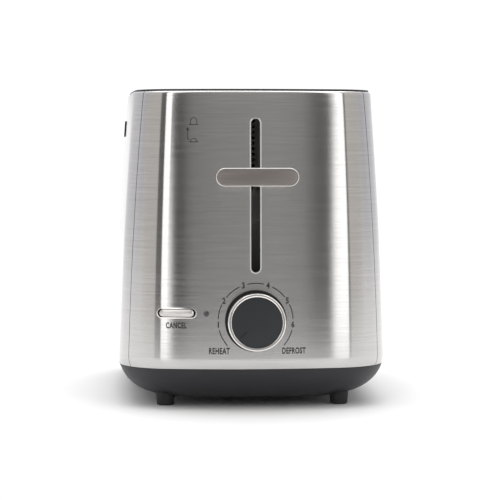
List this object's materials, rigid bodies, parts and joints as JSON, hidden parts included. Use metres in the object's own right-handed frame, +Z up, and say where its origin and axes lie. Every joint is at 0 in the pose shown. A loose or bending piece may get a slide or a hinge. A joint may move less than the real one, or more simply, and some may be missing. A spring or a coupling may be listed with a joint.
{
  "type": "pop-up toaster",
  "caption": "Two-slot pop-up toaster in a brushed steel shell, with a browning knob, cancel button and carriage lever on one short end.",
  "frame": {"origin": "middle of the bounding box's bottom face, on the plane the four feet stand on", "axes": "+Z up; -Y out of the end with the knob and lever; +X to the right as seen from that end"},
  "size_m": [0.1874, 0.304, 0.2125],
  "materials": {
    "brushed_steel": "fine brushed",
    "polished_chrome": "polished",
    "charcoal_plastic": "fine matt texture",
    "black_plastic": "satin",
    "knob_face": "satin blue-black",
    "lever_face": "brushed, taupe tint",
    "rubber": "matt",
    "aluminised_sheet": "aluminised steel sheet",
    "bright_wire": "drawn wire",
    "mica": "flaky mica sheet",
    "resistance_ribbon": "oxidised",
    "brass": "turned",
    "spring_steel": "drawn",
    "magnet_steel": "zinc plated",
    "copper_winding": "enamelled copper wire",
    "circuit_board": "solder mask",
    "switch_plastic": "moulded",
    "terminal_plastic": "moulded",
    "lead_insulation": "silicone sleeve",
    "lens": "smoked translucent",
    "screw_steel": "zinc plated"
  },
  "bodies": {
    "housing": {"front_panel": "brushed_steel", "rear_panel": "brushed_steel", "left_side_panel": "brushed_steel", "right_side_panel": "brushed_steel", "top_deck": "brushed_steel", "top_trim": "charcoal_plastic", "side_badge": "black_plastic", "base_housing": "charcoal_plastic", "foot_front_left": "rubber", "foot_front_right": "rubber", "foot_rear_left": "rubber", "foot_rear_right": "rubber", "base_screws": "screw_steel", "front_bulkhead": "aluminised_sheet", "rear_bulkhead": "aluminised_sheet", "heater_board_left": "mica", "heater_board_centre": "mica", "heater_board_right": "mica", "heater_ribbons": "resistance_ribbon", "heat_shield_left": "aluminised_sheet", "heat_shield_right": "aluminised_sheet", "rod_brackets": "aluminised_sheet", "guide_rods": "bright_wire", "magnet_core": "magnet_steel", "magnet_coils": "copper_winding", "return_spring": "spring_steel", "lever_slot_bezel": "polished_chrome", "cancel_bezel": "polished_chrome", "indicator_lens": "lens", "indicator_led": "lens", "control_carrier": "switch_plastic", "control_board": "circuit_board", "browning_control": "switch_plastic", "cancel_switch": "switch_plastic", "power_board": "circuit_board", "board_spacers": "brass", "power_switch": "switch_plastic", "terminal_block": "terminal_plastic", "mains_leads": "lead_insulation", "cord_gland": "rubber"},
    "carriage": {"carriage_slider": "aluminised_sheet", "magnet_armature": "magnet_steel", "carriage_bushes": "brass"},
    "lift": {"lift_bridge": "aluminised_sheet", "bread_rack_left": "bright_wire", "bread_rack_right": "bright_wire", "lever_arm": "bright_wire", "lever_body": "polished_chrome", "lever_face": "lever_face"},
    "guide_left_outer": {"bread_guide_left_outer": "bright_wire"},
    "guide_left_inner": {"bread_guide_left_inner": "bright_wire"},
    "guide_right_outer": {"bread_guide_right_outer": "bright_wire"},
    "guide_right_inner": {"bread_guide_right_inner": "bright_wire"},
    "knob": {"knob_body": "black_plastic", "knob_ring": "polished_chrome", "knob_cap": "knob_face", "control_shaft": "magnet_steel"},
    "button": {"cancel_button": "polished_chrome"},
    "tray": {"crumb_tray": "aluminised_sheet", "crumb_tray_handle": "charcoal_plastic"}
  },
  "joints": [
    {"name": "carriage_slide", "type": "slide", "parent": "housing", "child": "carriage", "axis": [0, 0, 1], "range_m": [-0.056, 0], "stiffness_N_per_m": 80, "springref_m": 0.06, "deforming": ["return_spring"]},
    {"name": "high_lift", "type": "slide", "parent": "carriage", "child": "lift", "axis": [0, 0, 1], "range_m": [0, 0.03]},
    {"name": "guide_left_outer_slide", "type": "slide", "parent": "housing", "child": "guide_left_outer", "axis": [1, 0, 0], "range_m": [0, 0.006]},
    {"name": "guide_left_inner_slide", "type": "slide", "parent": "housing", "child": "guide_left_inner", "axis": [-1, 0, 0], "range_m": [0, 0.006]},
    {"name": "guide_right_outer_slide", "type": "slide", "parent": "housing", "child": "guide_right_outer", "axis": [-1, 0, 0], "range_m": [0, 0.006]},
    {"name": "guide_right_inner_slide", "type": "slide", "parent": "housing", "child": "guide_right_inner", "axis": [1, 0, 0], "range_m": [0, 0.006]},
    {"name": "browning_knob", "type": "hinge", "parent": "housing", "child": "knob", "pos_m": [0, -0.142, 0.0597], "axis": [0, 1, 0], "range_deg": [0, 264]},
    {"name": "cancel_push", "type": "slide", "parent": "housing", "child": "button", "axis": [0.1733, 0.9849, 0], "range_m": [0, 0.0018], "stiffness_N_per_m": 400},
    {"name": "crumb_tray_slide", "type": "slide", "parent": "housing", "child": "tray", "axis": [0, 1, 0], "range_m": [0, 0.215]}
  ],
  "couplings": [
    {"joint": "guide_left_outer_slide", "follows": "carriage_slide", "ratio": -0.107},
    {"joint": "guide_left_inner_slide", "follows": "carriage_slide", "ratio": -0.107},
    {"joint": "guide_right_outer_slide", "follows": "carriage_slide", "ratio": -0.107},
    {"joint": "guide_right_inner_slide", "follows": "carriage_slide", "ratio": -0.107}
  ]
}
